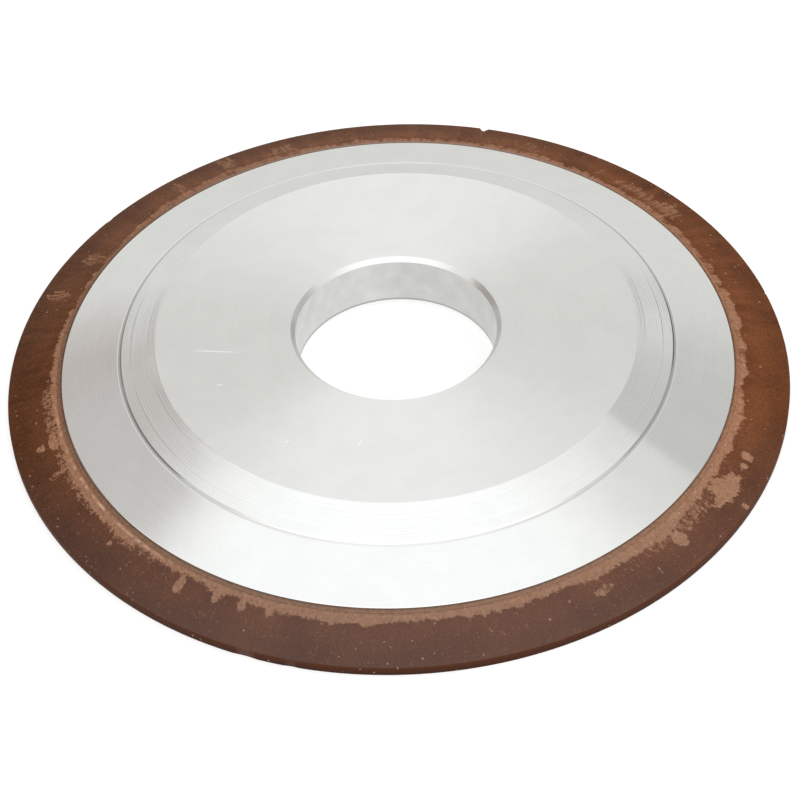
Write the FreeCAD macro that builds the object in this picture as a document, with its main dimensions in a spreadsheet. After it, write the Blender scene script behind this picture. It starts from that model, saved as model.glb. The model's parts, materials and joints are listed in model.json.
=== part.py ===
import FreeCAD, Part
import math
import os
import Sketcher

# Resin-bond diamond grinding wheel with one tapered side, in millimetres.
# The wheel's axis is +Z. The origin is the centre of its flat back face.
# An aluminium core carries a hot-pressed resin rim: first a thin layer of resin
# with no diamond, which bonds to the core's seat, then the diamond layer itself.

DIMENSIONS = {
    "wheel_diameter": 125.0,
    "hub_thickness": 10.0,
    "bore_diameter": 32.0,
    "hub_bore_chamfer": 0.7,
    "back_bore_chamfer": 1.2,
    "inner_bevel_width": 5.9,  # radial width of the steep bevel next to the hub face
    "inner_bevel_drop": 2.6,  # height lost over it
    "outer_bevel_width": 9.5,  # radial width of the shallow bevel next to the rim
    "outer_bevel_drop": 3.1,
    "relief_width": 0.9,  # turned groove where the two bevels meet
    "relief_depth": 0.2,
    "bond_thickness": 0.8,
    "abrasive_width": 8.1,  # radial depth of the diamond layer
    "edge_thickness": 1.6,  # what is left of the wheel at its periphery
    "edge_rounding": 0.2,
    "key_width": 1.2,  # groove in the core's seat that the bond layer keys into
    "key_depth": 0.6,
}

# Radii and heights that more than one piece shares, as expressions on the sheet.
WHEEL_RADIUS = "dimensions.wheel_diameter / 2"
BORE_RADIUS = "dimensions.bore_diameter / 2"
BOND_RADIUS = f"{WHEEL_RADIUS} - dimensions.abrasive_width"
SEAT_RADIUS = f"{BOND_RADIUS} - dimensions.bond_thickness"
SHOULDER_RADIUS = f"{SEAT_RADIUS} - dimensions.outer_bevel_width"
HUB_RADIUS = f"{SHOULDER_RADIUS} - dimensions.inner_bevel_width"
KEY_RADIUS = f"{SEAT_RADIUS} - dimensions.key_depth"

HUB_HEIGHT = "dimensions.hub_thickness"
SHOULDER_HEIGHT = f"{HUB_HEIGHT} - dimensions.inner_bevel_drop"
SEAT_HEIGHT = f"{SHOULDER_HEIGHT} - dimensions.outer_bevel_drop"
EDGE_HEIGHT = "dimensions.edge_thickness"
ABRASIVE_SHARE = "dimensions.abrasive_width / (dimensions.abrasive_width + dimensions.bond_thickness)"
BOND_HEIGHT = f"{EDGE_HEIGHT} + ({SEAT_HEIGHT} - {EDGE_HEIGHT}) * {ABRASIVE_SHARE}"
KEY_LOW = f"({SEAT_HEIGHT} - dimensions.key_width) / 2"
KEY_HIGH = f"({SEAT_HEIGHT} + dimensions.key_width) / 2"

BACK_FACE = None  # the height of a corner that lies on the back face, z = 0
SMALLEST_CUT = 1.0  # mm3 that a cut has to take away
SAME_PLACE = 1e-6


def make_sheet(document):
    """The spreadsheet that every sketch and feature reads."""
    sheet = document.addObject("Spreadsheet::Sheet", "dimensions")
    for row, (alias, value) in enumerate(DIMENSIONS.items(), start=1):
        cell = f"A{row}"
        sheet.set(cell, str(value))
        sheet.setAlias(cell, alias)
    document.recompute()


def make_body(document, label):
    """An empty body at the wheel's origin; its label is the sub-part's name."""
    body = document.addObject("PartDesign::Body", label)
    body.Label = label
    body.Placement = FreeCAD.Placement(FreeCAD.Vector(0, 0, 0), FreeCAD.Rotation())
    return body


def draw_section(body, name, corners):
    """A closed half-section in the XZ plane: x is the radius and y is the height.

    Each corner is a pair of expressions. The outline starts as a small regular
    polygon, and the constraints pull its corners to their places.
    """
    sketch = body.newObject("Sketcher::SketchObject", name)
    plane = next(item for item in body.Origin.OriginFeatures if item.Role == "XZ_Plane")
    sketch.AttachmentSupport = (plane, [""])
    sketch.MapMode = "FlatFace"
    count = len(corners)
    turn = 2 * math.pi / count
    starts = [FreeCAD.Vector(2 + math.cos(turn * i), 2 + math.sin(turn * i), 0) for i in range(count)]
    for index in range(count):
        sketch.addGeometry(Part.LineSegment(starts[index], starts[(index + 1) % count]), False)
    for index in range(count):
        sketch.addConstraint(Sketcher.Constraint("Coincident", index, 2, (index + 1) % count, 1))
    for index, (radius, height) in enumerate(corners):
        place_corner(sketch, index, "X", radius, starts[index].x)
        if height is BACK_FACE:
            sketch.addConstraint(Sketcher.Constraint("PointOnObject", index, 1, -1))
        else:
            place_corner(sketch, index, "Y", height, starts[index].y)
    return sketch


def place_corner(sketch, index, direction, expression, start):
    """Bind one corner's distance from the origin, along X or Y, to the sheet."""
    constraint = Sketcher.Constraint(f"Distance{direction}", -1, 1, index, 1, start)
    number = sketch.addConstraint(constraint)
    name = f"corner_{index}_{direction.lower()}"
    sketch.renameConstraint(number, name)
    sketch.setExpression(f"Constraints.{name}", expression)


def revolve(body, name, sketch):
    """Turn a half-section once around the wheel's axis."""
    feature = body.newObject("PartDesign::Revolution", name)
    feature.Profile = sketch
    feature.ReferenceAxis = (sketch, ["V_Axis"])
    feature.Angle = 360
    body.Document.recompute()
    return feature


def turn_away(body, name, sketch):
    """Cut a half-section out of the body all round, and see that it cut something."""
    before = body.Shape.Volume
    feature = body.newObject("PartDesign::Groove", name)
    feature.Profile = sketch
    feature.ReferenceAxis = (sketch, ["V_Axis"])
    feature.Angle = 360
    body.Document.recompute()
    if body.Shape.Volume > before - SMALLEST_CUT:
        raise RuntimeError(f"{name} cut nothing away")
    return feature


def circle_edge(feature, radius, height):
    """The name of the feature's circular edge with this radius and height."""
    for number, edge in enumerate(feature.Shape.Edges, start=1):
        curve = edge.Curve
        if not isinstance(curve, Part.Circle):
            continue
        if abs(curve.Radius - radius) < SAME_PLACE and abs(curve.Center.z - height) < SAME_PLACE:
            return f"Edge{number}"
    raise RuntimeError(f"no circular edge of radius {radius} at height {height}")


def break_edge(body, kind, name, base, edges, size):
    """A chamfer or a fillet on the named edges, its size bound to the sheet."""
    feature = body.newObject(f"PartDesign::{kind}", name)
    feature.Base = (base, edges)
    feature.setExpression("Radius" if kind == "Fillet" else "Size", f"dimensions.{size}")
    body.Document.recompute()
    return feature


def make_core(document):
    """The turned aluminium body: hub face, bore, two bevels and the rim's seat."""
    body = make_body(document, "core")
    half_relief = "dimensions.relief_width / 2"
    inner_slope = "dimensions.inner_bevel_drop / dimensions.inner_bevel_width"
    outer_slope = "dimensions.outer_bevel_drop / dimensions.outer_bevel_width"
    relief_inside = f"{SHOULDER_HEIGHT} + {half_relief} * {inner_slope}"
    relief_outside = f"{SHOULDER_HEIGHT} - {half_relief} * {outer_slope}"
    section = draw_section(
        body,
        "core_section",
        [
            (BORE_RADIUS, BACK_FACE),
            (SEAT_RADIUS, BACK_FACE),
            (SEAT_RADIUS, SEAT_HEIGHT),
            (f"{SHOULDER_RADIUS} + {half_relief}", relief_outside),
            (SHOULDER_RADIUS, f"{SHOULDER_HEIGHT} - dimensions.relief_depth"),
            (f"{SHOULDER_RADIUS} - {half_relief}", relief_inside),
            (HUB_RADIUS, HUB_HEIGHT),
            (BORE_RADIUS, HUB_HEIGHT),
        ],
    )
    revolve(body, "core_blank", section)

    # The cutting profile runs past the seat by its own depth, so it leaves no skin.
    past_seat = f"{SEAT_RADIUS} + dimensions.key_depth"
    key = draw_section(
        body,
        "key_section",
        [(KEY_RADIUS, KEY_LOW), (past_seat, KEY_LOW), (past_seat, KEY_HIGH), (KEY_RADIUS, KEY_HIGH)],
    )
    grooved = turn_away(body, "key_groove", key)

    bore_radius = DIMENSIONS["bore_diameter"] / 2
    hub_edge = circle_edge(grooved, bore_radius, DIMENSIONS["hub_thickness"])
    hub_chamfer = break_edge(body, "Chamfer", "hub_chamfer", grooved, [hub_edge], "hub_bore_chamfer")
    back_edge = circle_edge(hub_chamfer, bore_radius, 0)
    break_edge(body, "Chamfer", "back_chamfer", hub_chamfer, [back_edge], "back_bore_chamfer")
    return body


def make_bond_layer(document):
    """The diamond-free resin ring on the seat, with its key in the core's groove."""
    body = make_body(document, "bond_layer")
    section = draw_section(
        body,
        "bond_section",
        [
            (SEAT_RADIUS, BACK_FACE),
            (BOND_RADIUS, BACK_FACE),
            (BOND_RADIUS, BOND_HEIGHT),
            (SEAT_RADIUS, SEAT_HEIGHT),
            (SEAT_RADIUS, KEY_HIGH),
            (KEY_RADIUS, KEY_HIGH),
            (KEY_RADIUS, KEY_LOW),
            (SEAT_RADIUS, KEY_LOW),
        ],
    )
    revolve(body, "bond_ring", section)
    return body


def make_abrasive_rim(document):
    """The diamond layer, tapered from the bond layer to a thin periphery."""
    body = make_body(document, "abrasive_rim")
    section = draw_section(
        body,
        "abrasive_section",
        [
            (BOND_RADIUS, BACK_FACE),
            (WHEEL_RADIUS, BACK_FACE),
            (WHEEL_RADIUS, EDGE_HEIGHT),
            (BOND_RADIUS, BOND_HEIGHT),
        ],
    )
    ring = revolve(body, "abrasive_ring", section)
    wheel_radius = DIMENSIONS["wheel_diameter"] / 2
    heights = (0, DIMENSIONS["edge_thickness"])
    edges = [circle_edge(ring, wheel_radius, height) for height in heights]
    break_edge(body, "Fillet", "worn_edges", ring, edges, "edge_rounding")
    return body


def check_model(document, bodies):
    """Stop before anything is written if a feature failed or a body is not one solid."""
    for item in document.Objects:
        if "Invalid" in item.State or "Error" in item.State:
            raise RuntimeError(f"{item.Label} failed: {item.State}")
    for body in bodies:
        shape = body.Shape
        if shape.isNull() or not shape.isValid() or len(shape.Solids) != 1:
            raise RuntimeError(f"{body.Label} is not one valid solid")


def write_parts(bodies):
    """One STEP file per sub-part, named after its label."""
    os.makedirs("parts", exist_ok=True)
    for body in bodies:
        body.Shape.exportStep(f"parts/{body.Label}.step")
        print(f"{body.Label}: {body.Shape.Volume:.1f} mm3")


document = FreeCAD.newDocument("diamond_grinding_wheel")
make_sheet(document)
pieces = [make_core(document), make_bond_layer(document), make_abrasive_rim(document)]
document.recompute()
check_model(document, pieces)
write_parts(pieces)
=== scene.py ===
import json
import math

import bpy
from mathutils import Euler, Matrix, Vector, noise


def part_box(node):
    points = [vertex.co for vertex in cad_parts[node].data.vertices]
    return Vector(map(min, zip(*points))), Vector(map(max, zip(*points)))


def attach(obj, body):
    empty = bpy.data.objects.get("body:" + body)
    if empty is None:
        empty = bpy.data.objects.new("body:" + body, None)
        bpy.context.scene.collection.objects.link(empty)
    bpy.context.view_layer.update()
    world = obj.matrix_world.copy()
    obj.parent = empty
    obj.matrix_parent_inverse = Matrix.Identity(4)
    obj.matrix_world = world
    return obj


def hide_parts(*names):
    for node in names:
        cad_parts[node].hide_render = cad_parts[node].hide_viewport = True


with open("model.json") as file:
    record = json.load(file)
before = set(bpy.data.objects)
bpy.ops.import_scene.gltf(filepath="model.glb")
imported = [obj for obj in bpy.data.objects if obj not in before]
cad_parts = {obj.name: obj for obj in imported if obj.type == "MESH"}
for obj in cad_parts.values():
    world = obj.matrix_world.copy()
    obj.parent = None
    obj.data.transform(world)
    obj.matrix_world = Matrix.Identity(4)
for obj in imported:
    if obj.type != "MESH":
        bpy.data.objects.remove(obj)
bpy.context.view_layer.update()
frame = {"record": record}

MM = 0.001


# ---------------------------------------------------------------- turned core
# The wheel's body is one piece of aluminium, turned on a lathe: a flat hub face
# round a chamfered bore, a steep bevel, a small tool groove, a shallow bevel,
# and a seat with a keying groove that the resin rim is pressed on.

def draw_profile(name, corners):
    """A closed half-section in the XZ plane, drawn corner by corner.

    A piece is drawn with one unit to the millimetre, because edges this fine
    lose accuracy in metres. in_metres() brings it to the frame's size.
    """
    bpy.ops.object.select_all(action="DESELECT")
    bpy.ops.mesh.primitive_plane_add(size=1)
    piece = bpy.context.object
    piece.name = name
    piece.data.name = name
    bpy.ops.object.mode_set(mode="EDIT")
    bpy.ops.mesh.select_mode(type="VERT")
    bpy.ops.mesh.select_all(action="SELECT")
    bpy.ops.mesh.merge(type="CENTER")
    place = Vector((0, 0, 0))
    for number, (radius, height) in enumerate(corners):
        corner = Vector((radius, 0, height))
        if number == 0:
            bpy.ops.transform.translate(value=corner)
        else:
            bpy.ops.mesh.extrude_region_move(TRANSFORM_OT_translate={"value": corner - place})
        place = corner
    bpy.ops.mesh.select_all(action="DESELECT")
    bpy.ops.object.mode_set(mode="OBJECT")
    for end in (0, len(piece.data.vertices) - 1):
        piece.data.vertices[end].select = True
    bpy.ops.object.mode_set(mode="EDIT")
    bpy.ops.mesh.edge_face_add()
    bpy.ops.object.mode_set(mode="OBJECT")
    return piece


def select_edges(piece, chosen):
    """Select, in edit mode, the edges for which chosen(first end, second end) is true."""
    bpy.ops.object.mode_set(mode="EDIT")
    bpy.ops.mesh.select_mode(type="EDGE")
    bpy.ops.mesh.select_all(action="DESELECT")
    bpy.ops.object.mode_set(mode="OBJECT")
    points = piece.data.vertices
    for edge in piece.data.edges:
        first, second = (points[number].co for number in edge.vertices)
        edge.select = chosen(first, second)
    bpy.ops.object.mode_set(mode="EDIT")


def spin_round(piece, steps):
    """Turn the half-section once round the wheel's axis into a closed body."""
    bpy.ops.object.mode_set(mode="EDIT")
    bpy.ops.mesh.select_all(action="SELECT")
    bpy.ops.mesh.spin(steps=steps, angle=2 * math.pi, center=(0, 0, 0), axis=(0, 0, 1))
    bpy.ops.mesh.select_all(action="SELECT")
    bpy.ops.mesh.remove_doubles(threshold=0.002)
    bpy.ops.mesh.normals_make_consistent(inside=False)
    bpy.ops.object.mode_set(mode="OBJECT")


def round_corner(piece, radius, height, width, segments):
    """Round the ring of edges that a corner of the profile became."""
    near = 0.01

    def on_ring(first, second):
        return all(
            abs(math.hypot(end.x, end.y) - radius) < near and abs(end.z - height) < near
            for end in (first, second)
        )

    select_edges(piece, on_ring)
    bpy.ops.mesh.bevel(offset=width, segments=segments, clamp_overlap=False)
    bpy.ops.object.mode_set(mode="OBJECT")


def in_metres(piece, degrees):
    """Bring a finished piece from millimetres to metres, shaded smooth except where
    its faces meet at more than this angle."""
    bpy.ops.object.select_all(action="DESELECT")
    piece.select_set(True)
    bpy.context.view_layer.objects.active = piece
    piece.scale = (MM, MM, MM)
    bpy.ops.object.transform_apply(location=False, rotation=False, scale=True)
    bpy.ops.object.shade_smooth_by_angle(angle=math.radians(degrees))


bore_radius = next(m for m in frame["record"]["mounts"] if m["name"] == "bore")["dims"]["r_mm"]
hub_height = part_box("core")[1].z / MM
hub_radius = 38.2
shoulder_radius = 44.1
shoulder_height = 7.4
seat_radius = 53.6
seat_height = 4.3
inner_slope = (hub_height - shoulder_height) / (shoulder_radius - hub_radius)
outer_slope = (shoulder_height - seat_height) / (seat_radius - shoulder_radius)


def bevel_height(radius):
    """Height of the two turned bevels at a radius."""
    if radius < shoulder_radius:
        return shoulder_height + (shoulder_radius - radius) * inner_slope
    return shoulder_height - (radius - shoulder_radius) * outer_slope


hub_chamfer = 0.7
back_chamfer = 1.2
key_depth = 0.6
key_width = 1.2
key_low = (seat_height - key_width) / 2
key_high = key_low + key_width
relief_depth = 0.08
relief_half = 0.35
groove_radius = shoulder_radius - 0.1
tool_lines = (38.62, 38.94, 39.32, 42.2)
tool_line_half = 0.07
tool_line_depth = 0.012

outline = [
    (bore_radius, back_chamfer),
    (bore_radius, hub_height - hub_chamfer),
    (bore_radius + hub_chamfer, hub_height),
    (hub_radius, hub_height),
]
for line_radius in tool_lines:
    for offset, depth in ((-tool_line_half, 0), (0, tool_line_depth), (tool_line_half, 0)):
        outline.append((line_radius + offset, bevel_height(line_radius + offset) - depth))
outline += [
    (shoulder_radius - relief_half, bevel_height(shoulder_radius - relief_half)),
    (groove_radius, shoulder_height - relief_depth),
    (shoulder_radius + relief_half, bevel_height(shoulder_radius + relief_half)),
    (seat_radius, seat_height),
    (seat_radius, key_high),
    (seat_radius - key_depth, key_high),
    (seat_radius - key_depth, key_low),
    (seat_radius, key_low),
    (seat_radius, 0),
    (bore_radius + back_chamfer, 0),
]
core = draw_profile("turned_core", outline)
spin_round(core, steps=360)
round_corner(core, bore_radius + hub_chamfer, hub_height, width=0.04, segments=2)
round_corner(core, hub_radius, hub_height, width=0.06, segments=3)
round_corner(core, groove_radius, shoulder_height - relief_depth, width=0.1, segments=3)
round_corner(core, seat_radius, seat_height, width=0.1, segments=3)
in_metres(core, degrees=3)


def colour(code):
    """An sRGB hex code as linear RGBA."""
    parts = [int(code[place:place + 2], 16) / 255 for place in (0, 2, 4)]
    linear = [part / 12.92 if part <= 0.04045 else ((part + 0.055) / 1.055) ** 2.4 for part in parts]
    return (*linear, 1.0)


def add(tree, kind, settings=None, **links):
    """Add a node with its settings; a link or a value goes to each socket, which is
    named (Base_Color) or numbered (i0 is the first)."""
    node = tree.nodes.new(f"ShaderNode{kind}")
    for key, value in (settings or {}).items():
        setattr(node, key, value)
    for key, value in links.items():
        numbered = key[0] == "i" and key[1:].isdigit()
        socket = node.inputs[int(key[1:]) if numbered else key.replace("_", " ")]
        if isinstance(value, bpy.types.NodeSocket):
            tree.links.new(value, socket)
        else:
            socket.default_value = value
    return node


# The settings that nodes share: how two inputs are combined, and the shape of a ramp.
PLUS = {"operation": "ADD"}
MINUS = {"operation": "SUBTRACT"}
TIMES = {"operation": "MULTIPLY"}
SCALED = {"operation": "SCALE"}
DOT = {"operation": "DOT_PRODUCT"}
LENGTH = {"operation": "LENGTH"}
UNIT = {"operation": "NORMALIZE"}
COLOURS = {"data_type": "RGBA"}
EASED = {"interpolation_type": "SMOOTHSTEP"}


def new_material(name):
    """An empty node material and its tree."""
    material = bpy.data.materials.new(name)
    material.use_nodes = True
    material.node_tree.nodes.clear()
    return material, material.node_tree


def turned_aluminium():
    """Wrought aluminium, lathe-turned and left bright. The tool leaves fine rings,
    which spread a reflection across the rings and hardly at all along them."""
    material, tree = new_material("turned_aluminium")
    place = add(tree, "TexCoord").outputs["Object"]
    flat = add(tree, "VectorMath", TIMES, i0=place, i1=(1 / MM, 1 / MM, 0)).outputs[0]
    radius = add(tree, "VectorMath", LENGTH, i0=flat).outputs["Value"]
    along = add(tree, "VectorMath", {"operation": "CROSS_PRODUCT"}, i0=(0, 0, 1), i1=flat).outputs[0]
    along = add(tree, "VectorMath", UNIT, i0=along).outputs[0]

    # The feed of the tool is about 0.3 mm a turn on the bevels. Its ripple is drawn
    # coarser, at 0.42 mm, so that it shows.
    feed = 0.42
    steepest = 0.03
    turn = add(tree, "Math", TIMES, i0=radius, i1=2 * math.pi / feed).outputs[0]
    ripple = add(tree, "Math", {"operation": "SINE"}, i0=turn).outputs[0]
    on_bevel = add(tree, "Math", {"operation": "GREATER_THAN"}, i0=radius, i1=hub_radius).outputs[0]
    ripple = add(tree, "Math", TIMES, i0=ripple, i1=on_bevel).outputs[0]
    # The rough edge of the tool leaves much finer rings, whose sides lean: hardly at
    # all on the hub, which was faced more finely, and by some degrees on the bevels.
    ring_width = 0.04
    hub_lean = 0.05
    bevel_lean = 0.45
    rings = add(tree, "TexNoise", {"noise_dimensions": "1D"}, W=radius, Scale=1 / ring_width, Detail=1.0)
    fine = add(tree, "Math", MINUS, i0=rings.outputs["Fac"], i1=0.5).outputs[0]
    ring_lean = add(tree, "MapRange", None, Value=on_bevel, i3=hub_lean, i4=bevel_lean).outputs[0]
    fine = add(tree, "Math", TIMES, i0=fine, i1=ring_lean).outputs[0]
    lean = add(tree, "Math", TIMES, i0=ripple, i1=steepest).outputs[0]
    lean = add(tree, "Math", PLUS, i0=lean, i1=fine).outputs[0]
    outwards = add(tree, "VectorMath", UNIT, i0=flat).outputs[0]
    outwards = add(tree, "VectorMath", SCALED, Vector=outwards, Scale=lean).outputs[0]
    smooth = add(tree, "NewGeometry").outputs["Normal"]
    leaning = add(tree, "VectorMath", PLUS, i0=smooth, i1=outwards).outputs[0]
    leaning = add(tree, "VectorMath", UNIT, i0=leaning).outputs[0]

    # Each pass of the tool left a slightly different tone.
    pass_width = 0.6
    passes = add(tree, "TexNoise", {"noise_dimensions": "1D"}, W=radius, Scale=1 / pass_width, Detail=3.0)
    shade = add(tree, "MapRange", None, Value=passes.outputs["Fac"], i1=0.35, i2=0.65).outputs[0]
    tone = add(tree, "Mix", COLOURS, Factor=shade, i6=colour("F4F4F2"), i7=colour("F5F5F4"))
    # Handling has left faint cloudy marks.
    mark_size = 5.0
    marks = add(tree, "TexNoise", None, Vector=place, Scale=1 / (mark_size * MM), Detail=5.0, Roughness=0.6)
    marks = add(tree, "MapRange", None, Value=marks.outputs["Fac"], i1=0.4, i2=0.6, i3=0.975, i4=1.0)
    tone = add(tree, "VectorMath", SCALED, Vector=tone.outputs[2], Scale=marks.outputs[0])
    # Painted shade in the troughs of the ripple and painted light on its crests, most of it on two sides of
    # the wheel.
    sides = add(tree, "SeparateXYZ", None, Vector=place)
    across = add(tree, "Math", {"operation": "ABSOLUTE"}, i0=sides.outputs["X"]).outputs[0]
    ripple_light_and_shade = add(tree, "MapRange", None, Value=across, i1=10 * MM, i2=35 * MM, i3=0.0, i4=0.03).outputs[0]
    ripple_light_and_shade = add(tree, "Math", TIMES, i0=ripple_light_and_shade, i1=ripple).outputs[0]
    ripple_light_and_shade = add(tree, "Math", MINUS, i0=1.0, i1=ripple_light_and_shade).outputs[0]
    tone = add(tree, "VectorMath", SCALED, Vector=tone.outputs[0], Scale=ripple_light_and_shade).outputs[0]
    # The bored wall is duller than the faced sides, and painted shade darkens its lower lip.
    lip_low = (back_chamfer + 0.1) * MM
    lip_high = (back_chamfer + 0.5) * MM
    lip_shade = add(tree, "MapRange", None, Value=sides.outputs["Z"], i1=lip_low, i2=lip_high).outputs[0]
    blotch_size = 2.5
    blotch = add(tree, "TexNoise", None, Vector=place, Scale=1 / (blotch_size * MM), Detail=5.0)
    blotch = add(tree, "MapRange", None, Value=blotch.outputs["Fac"], i1=0.35, i2=0.65).outputs[0]
    bored = add(tree, "Mix", COLOURS, Factor=blotch, i6=colour("CFCFCC"), i7=colour("D8D8D5"))
    # A painted reflection makes one half of the bored wall lighter and bluer.
    reflection_side = add(tree, "MapRange", None, Value=sides.outputs["X"], i1=-4 * MM, i2=1 * MM, i3=1.0, i4=0.0)
    painted_reflection = add(tree, "Mix", COLOURS, Factor=reflection_side.outputs[0], i6=(1, 1, 1, 1), i7=(1.12, 1.12, 1.15, 1))
    bored = add(tree, "VectorMath", TIMES, i0=bored.outputs[2], i1=painted_reflection.outputs[2])
    wall_tone = add(tree, "Mix", COLOURS, Factor=lip_shade, i6=colour("A8A4A6"), i7=bored.outputs[0])
    margin = 0.02
    chamfer_end = bore_radius + hub_chamfer - margin
    on_chamfer = add(tree, "Math", {"operation": "LESS_THAN"}, i0=radius, i1=chamfer_end).outputs[0]
    tone = add(tree, "Mix", COLOURS, Factor=on_chamfer, i6=tone, i7=colour("F2F2F0"))
    in_bore = add(tree, "Math", {"operation": "LESS_THAN"}, i0=radius, i1=bore_radius + margin).outputs[0]
    tone = add(tree, "Mix", COLOURS, Factor=in_bore, i6=tone.outputs[2], i7=wall_tone.outputs[2])
    # Painted shade in the bottom of the tool groove, strongest towards the sides of the wheel.
    off_groove = add(tree, "Math", MINUS, i0=radius, i1=groove_radius).outputs[0]
    off_groove = add(tree, "Math", {"operation": "ABSOLUTE"}, i0=off_groove).outputs[0]
    groove_shade = add(tree, "MapRange", EASED, Value=off_groove, i1=0.1, i2=0.45, i3=1.0, i4=0.0)
    shade_towards_sides = add(tree, "MapRange", None, Value=across, i1=5 * MM, i2=shoulder_radius * MM, i3=0.0, i4=0.5)
    groove_shade = add(tree, "Math", TIMES, i0=groove_shade.outputs[0], i1=shade_towards_sides.outputs[0]).outputs[0]
    tone = add(tree, "Mix", COLOURS, Factor=groove_shade, i6=tone.outputs[2], i7=colour("8E8E90"))
    # Light scratches and dents on the hub: centre and half length in millimetres,
    # direction in degrees. Their sides lean, and so they catch the light.
    scratch_half_width = 0.16
    scratches = 0.0
    for right, back, heading, half_length in (
        (-28.5, -4.0, -7.0, 4.4),
        (-27.6, -11.6, 12.0, 0.7),
        (-17.2, -24.6, 40.0, 0.5),
        (-6.2, -25.7, 70.0, 0.8),
    ):
        spot = add(tree, "Mapping", {"vector_type": "TEXTURE"}, Vector=place)
        spot.inputs["Location"].default_value = (right * MM, back * MM, 0)
        spot.inputs["Rotation"].default_value = (0, 0, math.radians(heading))
        spot.inputs["Scale"].default_value = (half_length * MM, scratch_half_width * MM, 1)
        spot = add(tree, "VectorMath", TIMES, i0=spot.outputs[0], i1=(1, 1, 0)).outputs[0]
        spot = add(tree, "VectorMath", LENGTH, i0=spot).outputs["Value"]
        scratch = add(tree, "MapRange", None, Value=spot, i1=0.5, i2=1.0, i3=1.0, i4=0.0).outputs[0]
        scratches = add(tree, "Math", {"operation": "MAXIMUM"}, i0=scratches, i1=scratch).outputs[0]
    scratch_lean = (0, -0.4, 0)
    scratch_lean = add(tree, "VectorMath", SCALED, Vector=scratch_lean, Scale=scratches).outputs[0]
    leaning = add(tree, "VectorMath", PLUS, i0=leaning, i1=scratch_lean).outputs[0]
    leaning = add(tree, "VectorMath", UNIT, i0=leaning).outputs[0]
    # The bevels were cut with a sharper tool than the hub, so they are smoother.
    hub_rough = 0.33
    bevel_rough = 0.13
    chamfer_rough = 0.30
    rough = add(tree, "MapRange", None, Value=on_bevel, i3=hub_rough, i4=bevel_rough).outputs[0]
    cut_rough = add(tree, "MapRange", None, Value=on_chamfer, i3=hub_rough, i4=chamfer_rough).outputs[0]
    rough = add(tree, "Math", {"operation": "MINIMUM"}, i0=rough, i1=cut_rough).outputs[0]
    surface = add(tree, "BsdfPrincipled", None, Base_Color=tone.outputs[2], Metallic=1.0, Roughness=rough)
    surface.inputs["Anisotropic"].default_value = 0.95
    surface.inputs["Anisotropic Rotation"].default_value = 0.25
    tree.links.new(leaning, surface.inputs["Normal"])
    tree.links.new(along, surface.inputs["Tangent"])
    add(tree, "OutputMaterial", None, Surface=surface.outputs[0])
    return material


core.data.materials.append(turned_aluminium())
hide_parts("core")
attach(core, "root")


# ----------------------------------------------------------------- bond layer
# A thin ring of phenolic resin with no diamond in it, pressed on the core's seat
# and keyed into its groove. It was skimmed with the aluminium, so it is smooth.

wheel_radius = 62.5
edge_height = 1.6
bond_radius = 54.4
rim_slope = (seat_height - edge_height) / (wheel_radius - seat_radius)


def rim_height(radius):
    """Height of the resin's taper at a radius."""
    return seat_height - (radius - seat_radius) * rim_slope


seam_depth = 0.1
seam_width = 0.12
bond = draw_profile(
    "bond_ring",
    [
        (seat_radius, 0),
        (bond_radius, 0),
        (bond_radius, rim_height(bond_radius)),
        (seat_radius + seam_width, rim_height(seat_radius + seam_width) - 0.02),
        (seat_radius, seat_height - seam_depth),
        (seat_radius, key_high),
        (seat_radius - key_depth, key_high),
        (seat_radius - key_depth, key_low),
        (seat_radius, key_low),
    ],
)
spin_round(bond, steps=360)
in_metres(bond, degrees=20)


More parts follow.
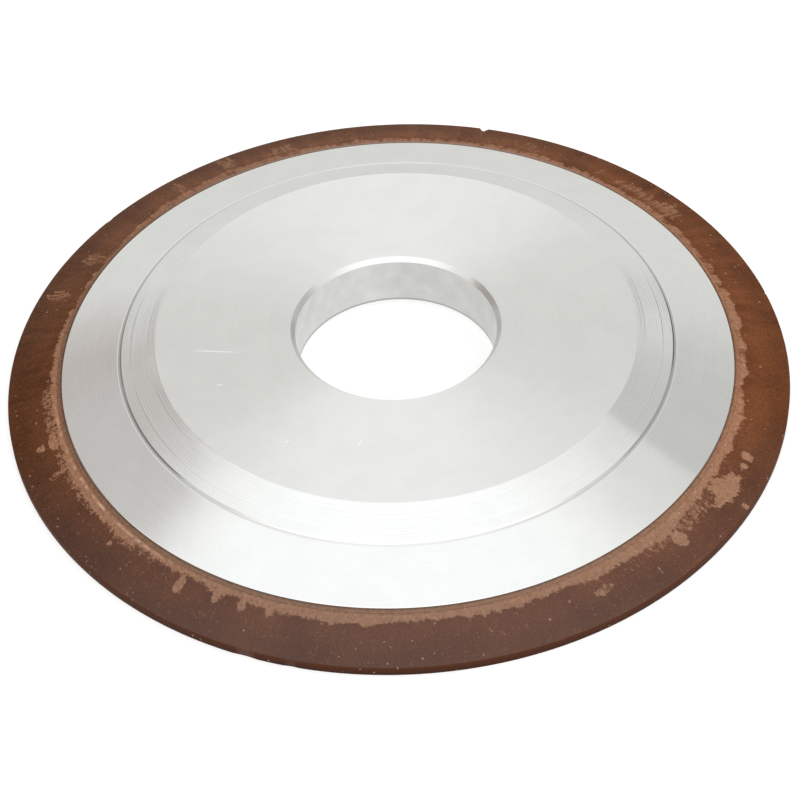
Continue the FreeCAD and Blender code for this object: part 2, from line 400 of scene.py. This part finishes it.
def skimmed_resin():
    """Phenolic resin skimmed on the lathe: smooth and red-brown, with faint turning streaks and a dark line
    of grinding dust and painted shade in the joint with the aluminium."""
    material, tree = new_material("skimmed_phenolic_resin")
    place = add(tree, "TexCoord").outputs["Object"]
    sides = add(tree, "SeparateXYZ", None, Vector=place)
    flat = add(tree, "VectorMath", TIMES, i0=place, i1=(1 / MM, 1 / MM, 0)).outputs[0]
    radius = add(tree, "VectorMath", LENGTH, i0=flat).outputs["Value"]
    crumb_size = 0.5
    crumbs = add(tree, "TexNoise", None, Vector=place, Scale=1 / (crumb_size * MM), Detail=6.0, Roughness=0.7)
    mottle = add(tree, "MapRange", None, Value=crumbs.outputs["Fac"], i1=0.3, i2=0.7).outputs[0]
    tone = add(tree, "Mix", COLOURS, Factor=mottle, i6=colour("724A32"), i7=colour("A4765A"))
    # Painted shade makes it duller at the side away from the lamp, and a painted sheen greys it at front and
    # back.
    full = wheel_radius * MM
    painted_side_shade = add(tree, "MapRange", None, Value=sides.outputs["X"], i1=-full, i2=full, i3=0.72, i4=1.08)
    tone = add(tree, "VectorMath", SCALED, Vector=tone.outputs[2], Scale=painted_side_shade.outputs[0])
    painted_near_sheen = add(tree, "MapRange", None, Value=sides.outputs["Y"], i1=-50 * MM, i2=-10 * MM, i3=0.3, i4=0.0)
    tone = add(tree, "Mix", COLOURS, Factor=painted_near_sheen.outputs[0], i6=tone.outputs[0], i7=colour("80746A"))
    painted_back_sheen = add(tree, "MapRange", None, Value=sides.outputs["Y"], i1=35 * MM, i2=53 * MM, i3=0.0, i4=0.3)
    tone = add(tree, "Mix", COLOURS, Factor=painted_back_sheen.outputs[0], i6=tone.outputs[2], i7=colour("A8968A"))
    # Grinding dust and painted shade darken the joint with the aluminium.
    joint_start = seat_radius + 0.1
    joint_end = seat_radius + 0.4
    joint_dust_and_shade = add(tree, "MapRange", None, Value=radius, i1=joint_start, i2=joint_end, i3=0.5, i4=1.0)
    tone = add(tree, "VectorMath", SCALED, Vector=tone.outputs[2], Scale=joint_dust_and_shade.outputs[0])
    grain_size = 0.2
    grain = add(tree, "TexNoise", None, Vector=place, Scale=1 / (grain_size * MM), Detail=3.0)
    bump = add(tree, "Bump", None, Height=grain.outputs["Fac"], Strength=0.4, Distance=0.03 * MM)
    surface = add(tree, "BsdfPrincipled", None, Base_Color=tone.outputs[0], Roughness=0.5)
    tree.links.new(bump.outputs[0], surface.inputs["Normal"])
    surface.inputs["Specular IOR Level"].default_value = 0.2
    add(tree, "OutputMaterial", None, Surface=surface.outputs[0])
    return material


bond.data.materials.append(skimmed_resin())
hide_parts("bond_layer")
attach(bond, "root")


# --------------------------------------------------------------- abrasive rim
# The ring that grinds: phenolic resin full of fine diamond, hot-pressed in a
# mould. A dark skin from the mould covers it, except where it was skimmed off
# in a ragged strip next to the bond ring and in a few torn patches.

edge_rounding = 0.2
taper_cuts = 33
skin_radius = wheel_radius - 0.02
rim = draw_profile(
    "diamond_rim",
    [
        (bond_radius, 0),
        (skin_radius - edge_rounding, 0),
        (skin_radius - 0.06, 0.06),
        (skin_radius, edge_rounding),
        (skin_radius, edge_height - edge_rounding),
        (skin_radius - 0.06, edge_height - 0.05),
        (skin_radius - edge_rounding, rim_height(skin_radius - edge_rounding)),
        (bond_radius, rim_height(bond_radius)),
    ],
)


def is_taper(first, second):
    """True for the profile's long sloping edge."""
    return abs(first.x - second.x) > 5 and min(first.z, second.z) > 1


select_edges(rim, is_taper)
bpy.ops.mesh.subdivide(number_cuts=taper_cuts)
bpy.ops.object.mode_set(mode="OBJECT")
spin_round(rim, steps=1440)

# Patches where the skin came away: angle in degrees, radius, half sizes along and
# across the ring in millimetres, and how bare they are, from 0 to 1.
torn_patches = [
    (326.6, 58.5, 3.1, 1.1, 1.0),
    (326.4, 57.2, 1.3, 1.3, 1.0),
    (314.4, 58.0, 1.0, 1.0, 1.0),
    (299.5, 58.1, 1.2, 0.6, 0.6),
    (332.4, 58.6, 0.5, 0.5, 1.0),
    (334.4, 58.4, 0.6, 0.8, 1.0),
    (317.0, 56.8, 8.0, 1.0, 0.4),
    (190.0, 56.0, 6.0, 0.8, 0.45),
    (205.0, 56.0, 9.0, 0.7, 0.45),
    (222.0, 56.0, 6.0, 0.6, 0.4),
    (326.0, 62.0, 0.3, 0.6, 1.0),
    (308.3, 60.3, 0.2, 0.7, 0.6),
    (196.6, 58.3, 0.7, 0.6, 0.8),
    (196.4, 56.4, 1.6, 0.6, 0.9),
    (203.2, 57.7, 0.5, 1.2, 0.6),
    (220.2, 57.8, 0.25, 0.3, 1.0),
    (234.2, 56.8, 0.6, 1.4, 0.9),
    (240.3, 56.2, 0.5, 0.9, 0.9),
    (244.6, 56.2, 0.5, 1.0, 0.9),
    (249.0, 56.0, 0.5, 0.7, 0.9),
    (35.5, 57.6, 2.2, 2.6, 0.5),
    (42.0, 56.8, 4.0, 1.8, 0.45),
    (50.5, 57.4, 0.9, 1.8, 0.4),
    (64.5, 57.4, 1.3, 2.4, 0.4),
    (108.5, 57.0, 2.0, 2.4, 0.5),
    (118.5, 59.5, 1.3, 2.6, 0.5),
    (128.5, 58.5, 0.9, 2.4, 0.45),
    (151.5, 57.0, 1.4, 2.2, 0.5),
    (161.0, 58.8, 1.0, 1.8, 0.5),
]
skin_thickness = 0.08
strip_edge = 55.3
thinning_width = 0.7
torn_edge_sharpness = 2.5
# Where the skimmed strip is wider or narrower: angle and half width in degrees, change
# in millimetres.
strip_changes = [
    (312, 8, 0.7),
    (215, 15, 0.35),
    (190, 9, -0.4),
    (160, 17, -1.1),
    (120, 17, 0.9),
    (20, 30, -0.15),
]


def ring_noise(angle, per_turn, seed):
    """Smooth noise from -1 to 1 that closes on itself round the ring."""
    reach = per_turn / (2 * math.pi)
    return noise.noise(Vector((math.cos(angle) * reach, math.sin(angle) * reach, seed)))


def turn_from(angle, degrees):
    """How far round the ring an angle is from a place given in degrees, the short way."""
    return (angle - math.radians(degrees) + math.pi) % (2 * math.pi) - math.pi


def skin_cover(point):
    """How much of the mould's skin is left at a point of the taper, from 0 to 1."""
    radius = math.hypot(point.x, point.y)
    angle = math.atan2(point.y, point.x)
    ragged = 0.5 * ring_noise(angle, 25, 1.5) + 0.45 * ring_noise(angle, 140, 7.5)
    ragged += 0.7 * max(0, ring_noise(angle, 420, 3.5))
    for degrees, half_width, change in strip_changes:
        turned = math.degrees(turn_from(angle, degrees))
        ragged += change * math.exp(-((turned / half_width) ** 2))
    cover = (radius - strip_edge - ragged) / thinning_width
    for degrees, patch_radius, half_along, half_across, bareness in torn_patches:
        along = turn_from(angle, degrees) * radius / half_along
        across = (radius - patch_radius) / half_across
        if abs(along) > 2 or abs(across) > 2:
            continue
        torn = 0.5 * noise.noise(point * 1.1) + 0.4 * noise.noise(point * 3.3)
        whole = min(max((math.hypot(along, across) + torn - 1) * torn_edge_sharpness, 0), 1)
        cover = min(cover, 1 - bareness * (1 - whole))
    return min(max(cover, 0), 1)


# Chips knocked out of the sharp edge: angle in degrees, half length and depth in
# millimetres.
edge_chips = [
    (73.8, 0.7, 0.8),
    (247.6, 1.8, 0.15),
    (254.0, 1.2, 0.1),
    (12.0, 0.5, 0.12),
    (141.0, 0.8, 0.15),
]


def chip_depth(angle, radius):
    """How far inwards a point near the edge moves where the edge is chipped."""
    depth = 0
    for degrees, half_length, deepest in edge_chips:
        along = turn_from(angle, degrees) * radius / half_length
        if abs(along) < 1:
            reach = 2.5 * deepest
            near_edge = min(max((radius - skin_radius) / reach + 1, 0), 1)
            depth += deepest * (1 - along * along) * near_edge
    return depth


# The taper is a little uneven, is lower where the skin is gone, and stays just below
# the CAD's surface. The cover is kept on the mesh, where the material reads it.
sunk = 0.015
cover_layer = rim.data.attributes.new("skin", "FLOAT", "POINT")
for vertex in rim.data.vertices:
    point = vertex.co.copy()
    radius = math.hypot(point.x, point.y)
    cover = 1.0
    if point.z > rim_height(radius) - 0.01 and radius < skin_radius - 0.1:
        cover = skin_cover(point)
        grain = 0.012 * noise.noise(point * 2.3) + 0.008 * noise.noise(point * 5.1)
        vertex.co.z += grain - sunk - skin_thickness * (1 - cover)
    chipped = 1 - chip_depth(math.atan2(point.y, point.x), radius) / radius
    vertex.co.x *= chipped
    vertex.co.y *= chipped
    cover_layer.data[vertex.index].value = cover
in_metres(rim, degrees=40)


def pressed_resin():
    """Diamond-filled phenolic resin as it left the mould: a dark, streaky skin, and
    under it a paler, drier body where the grit shows as fine specks."""
    material, tree = new_material("pressed_diamond_resin")
    place = add(tree, "TexCoord").outputs["Object"]
    sides = add(tree, "SeparateXYZ", None, Vector=place)
    flat = add(tree, "VectorMath", TIMES, i0=place, i1=(1 / MM, 1 / MM, 0)).outputs[0]
    radius = add(tree, "VectorMath", LENGTH, i0=flat).outputs["Value"]
    # Streaks run across the ring, because the skin was drawn that way as it left the mould.
    around = add(tree, "VectorMath", UNIT, i0=flat).outputs[0]
    around = add(tree, "VectorMath", SCALED, Vector=around, Scale=wheel_radius).outputs[0]
    stretch = add(tree, "Math", TIMES, i0=radius, i1=0.22).outputs[0]
    outwards = add(tree, "CombineXYZ", None, Z=stretch).outputs[0]
    drawn = add(tree, "VectorMath", PLUS, i0=around, i1=outwards).outputs[0]

    def streaks(width, seed, low, high, darkest, lightest):
        """Noise drawn out across the ring, brought to a range."""
        moved = add(tree, "VectorMath", PLUS, i0=drawn, i1=(0, 0, seed)).outputs[0]
        strand = add(tree, "TexNoise", None, Vector=moved, Scale=1 / width, Detail=4.0).outputs["Fac"]
        ramp = add(tree, "MapRange", None, Value=strand, i1=low, i2=high, i3=darkest, i4=lightest)
        return ramp.outputs[0]

    # The skin's outline is frayed: in fine crumbs on the near side, and in soft streaks
    # on the far side, where the mould's skin thins out instead of breaking off.
    skin = add(tree, "Attribute", {"attribute_name": "skin"}).outputs["Fac"]
    fray_size = 0.45
    fray = add(tree, "TexNoise", None, Vector=place, Scale=1 / (fray_size * MM), Detail=6.0, Roughness=0.7)
    fray = add(tree, "MapRange", None, Value=fray.outputs["Fac"], i1=0.3, i2=0.7, i3=-0.5, i4=0.5).outputs[0]
    far_side = add(tree, "VectorMath", DOT, i0=place, i1=(0.5, 1, 0)).outputs["Value"]
    far_start = -10 * MM
    far_end = 30 * MM
    crisp = add(tree, "MapRange", None, Value=far_side, i1=far_start, i2=far_end, i3=1.0, i4=0.4).outputs[0]
    fray = add(tree, "Math", TIMES, i0=fray, i1=crisp).outputs[0]
    skin = add(tree, "Math", PLUS, i0=skin, i1=fray).outputs[0]
    strands = streaks(0.6, 3.0, 0.35, 0.65, -0.2, 0.2)
    skin = add(tree, "Math", PLUS, i0=skin, i1=strands).outputs[0]
    behind = add(tree, "MapRange", None, Value=far_side, i1=far_start, i2=far_end).outputs[0]
    thinned = streaks(2.5, 23.0, 0.4, 0.6, 0.1, 0.6)
    behind = add(tree, "Math", TIMES, i0=behind, i1=thinned).outputs[0]
    near_ring = add(tree, "MapRange", None, Value=radius, i1=55.8, i2=56.8, i3=1.0, i4=0.0).outputs[0]
    behind = add(tree, "Math", TIMES, i0=behind, i1=near_ring).outputs[0]
    skin = add(tree, "Math", PLUS, i0=skin, i1=behind).outputs[0]
    skin = add(tree, "MapRange", EASED, Value=skin, i1=0.25, i2=0.75).outputs[0]

    # The skin is cloudy and rusty in streaks, has painted shade at the side away from the lamp and a painted
    # sheen at the back, is darker towards the edge, and grainy with the grit under it.
    cloud_size = 7.0
    cloud = add(tree, "TexNoise", None, Vector=place, Scale=1 / (cloud_size * MM), Detail=7.0)
    cloud = add(tree, "MapRange", None, Value=cloud.outputs["Fac"], i1=0.3, i2=0.7).outputs[0]
    dark = add(tree, "Mix", COLOURS, Factor=cloud, i6=colour("60361F"), i7=colour("764629"))
    rusty = streaks(2.2, 31.0, 0.45, 0.7, 0.0, 1.0)
    away = add(tree, "MapRange", None, Value=sides.outputs["Y"], i1=-45 * MM, i2=10 * MM, i3=0.0, i4=0.75)
    rusty = add(tree, "Math", TIMES, i0=rusty, i1=away.outputs[0]).outputs[0]
    dark = add(tree, "Mix", COLOURS, Factor=rusty, i6=dark.outputs[2], i7=colour("7E4B2F"))
    full = wheel_radius * MM
    side_shade_from_lamp = add(tree, "VectorMath", DOT, i0=place, i1=(0.97, 0.26, 0)).outputs["Value"]
    side_shade_from_lamp = add(tree, "MapRange", None, Value=side_shade_from_lamp, i1=-full, i2=full, i3=0.70, i4=1.0)
    dark = add(tree, "VectorMath", SCALED, Vector=dark.outputs[2], Scale=side_shade_from_lamp.outputs[0])
    # Painted sheen greys the skin towards the back.
    painted_back_sheen = add(tree, "VectorMath", DOT, i0=place, i1=(-0.42, 0.91, 0)).outputs["Value"]
    painted_back_sheen = add(tree, "MapRange", None, Value=painted_back_sheen, i1=25 * MM, i2=55 * MM, i3=0.0, i4=0.1).outputs[0]
    dark = add(tree, "Mix", COLOURS, Factor=painted_back_sheen, i6=dark.outputs[0], i7=colour("A88C78"))
    fading = add(tree, "MapRange", None, Value=radius, i1=57.5, i2=60.5, i3=1.02, i4=0.76)
    dark = add(tree, "VectorMath", SCALED, Vector=dark.outputs[2], Scale=fading.outputs[0])
    strands = streaks(0.5, 11.0, 0.3, 0.7, 0.96, 1.04)
    dark = add(tree, "VectorMath", SCALED, Vector=dark.outputs[0], Scale=strands)
    # The diamond is about 0.1 mm. Its grain is drawn coarser, so that it shows.
    grit_size = 0.28
    grain = add(tree, "TexNoise", None, Vector=place, Scale=1 / (grit_size * MM), Detail=4.0)
    grainy = add(tree, "MapRange", None, Value=grain.outputs["Fac"], i1=0.3, i2=0.7, i3=0.68, i4=1.32)
    dark = add(tree, "VectorMath", SCALED, Vector=dark.outputs[0], Scale=grainy.outputs[0])
    # A grey painted sheen lies on the near side, on the skin and on the bare body alike.
    painted_near_sheen = add(tree, "MapRange", None, Value=sides.outputs["Y"], i1=-55 * MM, i2=-15 * MM, i3=0.35, i4=0.0)
    dark = add(tree, "Mix", COLOURS, Factor=painted_near_sheen.outputs[0], i6=dark.outputs[0], i7=colour("705F5C"))
    crumb_size = 0.5
    crumbs = add(tree, "TexNoise", None, Vector=place, Scale=1 / (crumb_size * MM), Detail=6.0, Roughness=0.7)
    crumbs = add(tree, "MapRange", None, Value=crumbs.outputs["Fac"], i1=0.3, i2=0.7).outputs[0]
    dry = add(tree, "Mix", COLOURS, Factor=crumbs, i6=colour("85583C"), i7=colour("B0846A"))
    # Painted shade darkens the bare body towards the back.
    painted_back_shade = add(tree, "MapRange", None, Value=sides.outputs["Y"], i1=-20 * MM, i2=40 * MM, i3=1.0, i4=0.84)
    dry = add(tree, "VectorMath", SCALED, Vector=dry.outputs[2], Scale=painted_back_shade.outputs[0])
    dry = add(tree, "Mix", COLOURS, Factor=painted_near_sheen.outputs[0], i6=dry.outputs[0], i7=colour("7C6E66"))
    tone = add(tree, "Mix", COLOURS, Factor=skin, i6=dry.outputs[2], i7=dark.outputs[2])

    # A pale scuffed line where the skimming tool stopped, plainest on one side of the wheel.
    line = add(tree, "MapRange", EASED, Value=radius, i1=54.55, i2=54.75).outputs[0]
    past = add(tree, "MapRange", EASED, Value=radius, i1=54.85, i2=55.1, i3=1.0, i4=0.0).outputs[0]
    scuff = add(tree, "Math", TIMES, i0=line, i1=past).outputs[0]
    scuffed = add(tree, "VectorMath", DOT, i0=place, i1=(-0.87, -0.5, 0)).outputs["Value"]
    one_side = add(tree, "MapRange", None, Value=scuffed, i1=50 * MM, i2=56 * MM, i3=0.05, i4=1.0).outputs[0]
    scuff = add(tree, "Math", TIMES, i0=scuff, i1=one_side).outputs[0]
    broken = streaks(1.6, 17.0, 0.42, 0.62, 0.0, 0.9)
    scuff = add(tree, "Math", TIMES, i0=scuff, i1=broken).outputs[0]
    tone = add(tree, "Mix", COLOURS, Factor=scuff, i6=tone.outputs[2], i7=colour("DDB497"))

    # The outer face carries painted shade: darker than the taper, and darkest at the bottom, next to the
    # floor.
    height = add(tree, "MapRange", None, Value=sides.outputs["Z"], i1=0.0, i2=edge_height * MM).outputs[0]
    painted_face_shade = add(tree, "Mix", COLOURS, Factor=height, i6=colour("34180C"), i7=colour("54301F"))
    face_start = skin_radius - edge_rounding
    face_end = skin_radius - 0.02
    outer_face = add(tree, "MapRange", None, Value=radius, i1=face_start, i2=face_end).outputs[0]
    tone = add(tree, "Mix", COLOURS, Factor=outer_face, i6=tone.outputs[2], i7=painted_face_shade.outputs[2])

    # A few pale grains of grit show in the surface.
    rarity = 0.996
    paleness = 0.35
    grit = add(tree, "TexVoronoi", None, Vector=place, Scale=1 / (grit_size * MM))
    speck = add(tree, "SeparateColor", None, Color=grit.outputs["Color"]).outputs[0]
    speck = add(tree, "Math", {"operation": "GREATER_THAN"}, i0=speck, i1=rarity).outputs[0]
    speck = add(tree, "Math", TIMES, i0=speck, i1=paleness).outputs[0]
    tone = add(tree, "Mix", COLOURS, Factor=speck, i6=tone.outputs[2], i7=colour("C8A590"))
    bump = add(tree, "Bump", None, Height=grain.outputs["Fac"], Strength=0.8, Distance=0.06 * MM)
    surface = add(tree, "BsdfPrincipled", None, Base_Color=tone.outputs[2], Roughness=0.55)
    tree.links.new(bump.outputs[0], surface.inputs["Normal"])
    surface.inputs["Specular IOR Level"].default_value = 0.06
    add(tree, "OutputMaterial", None, Surface=surface.outputs[0])
    return material


rim.data.materials.append(pressed_resin())
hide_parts("abrasive_rim")
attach(rim, "root")


# ------------------------------------------------------- floor, light, camera
# A pale table top that glows softly, most round the wheel: painted light that washes out the wheel's shadow.
# A white room with a few dull areas, a bright window on the near side and one warm lamp at the right.

floor_size = 6.0
bpy.ops.object.select_all(action="DESELECT")
bpy.ops.mesh.primitive_plane_add(size=floor_size)
floor = bpy.context.object
floor.name = "floor"
material, tree = new_material("white_table")
glow_bright = 0.62
glow_dim = 0.3
spot = add(tree, "TexCoord").outputs["Object"]
spot = add(tree, "VectorMath", LENGTH, i0=spot).outputs["Value"]
glow = add(tree, "MapRange", EASED, Value=spot, i1=0.1, i2=0.3, i3=glow_bright, i4=glow_dim).outputs[0]
paint = add(tree, "BsdfPrincipled", None, Base_Color=(0.5, 0.5, 0.5, 1), Roughness=0.9)
paint.inputs["Emission Color"].default_value = (1, 1, 1, 1)
tree.links.new(glow, paint.inputs["Emission Strength"])
add(tree, "OutputMaterial", None, Surface=paint.outputs[0])
floor.data.materials.append(material)
floor.visible_glossy = False

world = bpy.data.worlds.new("white_studio")
bpy.context.scene.world = world
world.use_nodes = True
sky = world.node_tree
background = sky.nodes["Background"]
direction = add(sky, "TexCoord").outputs["Generated"]
wall = (0.96, 0.97, 0.94, 1)
low_wall = (0.73, 0.735, 0.715, 1)
below = (1.08, 1.08, 1.07, 1)
up = add(sky, "SeparateXYZ", None, Vector=direction).outputs["Z"]
lift = add(sky, "MapRange", EASED, Value=up, i1=0.2, i2=0.72).outputs[0]
drop = add(sky, "MapRange", EASED, Value=up, i1=-0.25, i2=-0.6).outputs[0]
shade = add(sky, "Mix", COLOURS, Factor=lift, i6=low_wall, i7=wall).outputs[2]
shade = add(sky, "Mix", COLOURS, Factor=drop, i6=shade, i7=below).outputs[2]

# Soft areas of another tone: their direction, the cosines of the angles at which they
# begin and are full, the tone, and what cuts them off. The bevels and the bore's
# chamfer mirror them. The dull screen at the right ends in a straight upright edge.
screen_side = (0.566, 0.824, 0)
screen = add(sky, "VectorMath", DOT, i0=direction, i1=screen_side).outputs["Value"]
screen = add(sky, "MapRange", None, Value=screen, i1=0.628, i2=0.632).outputs[0]
uncut = 1.0
for side, begins, full, tone, cut in (
    ((-0.47, 0.62, 0.63), 0.925, 0.985, (0.52, 0.48, 0.465, 1), uncut),
    ((-0.49, 0.48, 0.727), 0.945, 0.99, (0.585, 0.565, 0.555, 1), uncut),
    ((0.50, 0.59, 0.63), 0.86, 0.965, (0.74, 0.745, 0.725, 1), uncut),
    ((0.46, 0.50, 0.73), 0.92, 0.965, (0.59, 0.595, 0.575, 1), screen),
    ((0.70, 0.71, 0.0), 0.95, 0.985, (0.15, 0.15, 0.15, 1), uncut),
    ((-0.70, 0.71, 0.0), 0.95, 0.985, (0.3, 0.3, 0.3, 1), uncut),
    ((-0.91, 0.29, 0.30), 0.925, 0.97, (0.3, 0.25, 0.23, 1), uncut),
    ((0.91, 0.29, 0.30), 0.925, 0.97, (0.5, 0.5, 0.49, 1), uncut),
    ((-0.05, 0.0, 0.998), 0.82, 0.955, (1.06, 1.08, 1.09, 1), uncut),
):
    facing = add(sky, "VectorMath", DOT, i0=direction, i1=side).outputs["Value"]
    patch = add(sky, "MapRange", EASED, Value=facing, i1=begins, i2=full).outputs[0]
    patch = add(sky, "Math", TIMES, i0=patch, i1=cut).outputs[0]
    shade = add(sky, "Mix", COLOURS, Factor=patch, i6=shade, i7=tone).outputs[2]

# A tall window on the near side, above head height.
daylight = (1.5, 1.5, 1.5, 1)
near = add(sky, "SeparateXYZ", None, Vector=direction).outputs["Y"]
near = add(sky, "MapRange", EASED, Value=near, i1=-0.15, i2=-0.4).outputs[0]
high = add(sky, "MapRange", EASED, Value=up, i1=0.5, i2=0.66).outputs[0]
window = add(sky, "Math", TIMES, i0=near, i1=high).outputs[0]
shade = add(sky, "Mix", COLOURS, Factor=window, i6=shade, i7=daylight).outputs[2]
sky.links.new(shade, background.inputs["Color"])

lamp_place = Vector((1.0, -0.1, 0.45))
lamp_size = 0.7
lamp_radiance = 2.2
lamp = bpy.data.lights.new("side_light", "AREA")
lamp.shape = "RECTANGLE"
lamp.size = lamp_size
lamp.size_y = lamp_size
lamp.color = (1.0, 0.96, 0.9)
lamp.energy = lamp_radiance * math.pi * lamp_size * lamp_size
lamp_holder = bpy.data.objects.new("side_light", lamp)
lamp_holder.location = lamp_place
lamp_holder.rotation_euler = lamp_place.to_track_quat("Z", "Y").to_euler()
lamp_holder.visible_glossy = False
bpy.context.scene.collection.objects.link(lamp_holder)

camera = bpy.data.cameras.new("camera")
camera.lens = 106.0
camera.sensor_width = 36.0
camera_object = bpy.data.objects.new("camera", camera)
bpy.context.scene.collection.objects.link(camera_object)
elevation = math.radians(44.537)
distance = 375.02 * MM
aim = Vector((0.122, -6.608, 0)) * MM
tilt = Euler((math.pi / 2 - elevation, 0, 0)).to_matrix()
roll = Euler((0, 0, math.radians(-2.644))).to_matrix()
camera_object.matrix_world = Matrix.Translation(
    aim + Vector((0, -math.cos(elevation), math.sin(elevation))) * distance
) @ (tilt @ roll).to_4x4()
bpy.context.scene.camera = camera_object
bpy.context.scene.view_settings.view_transform = "Standard"
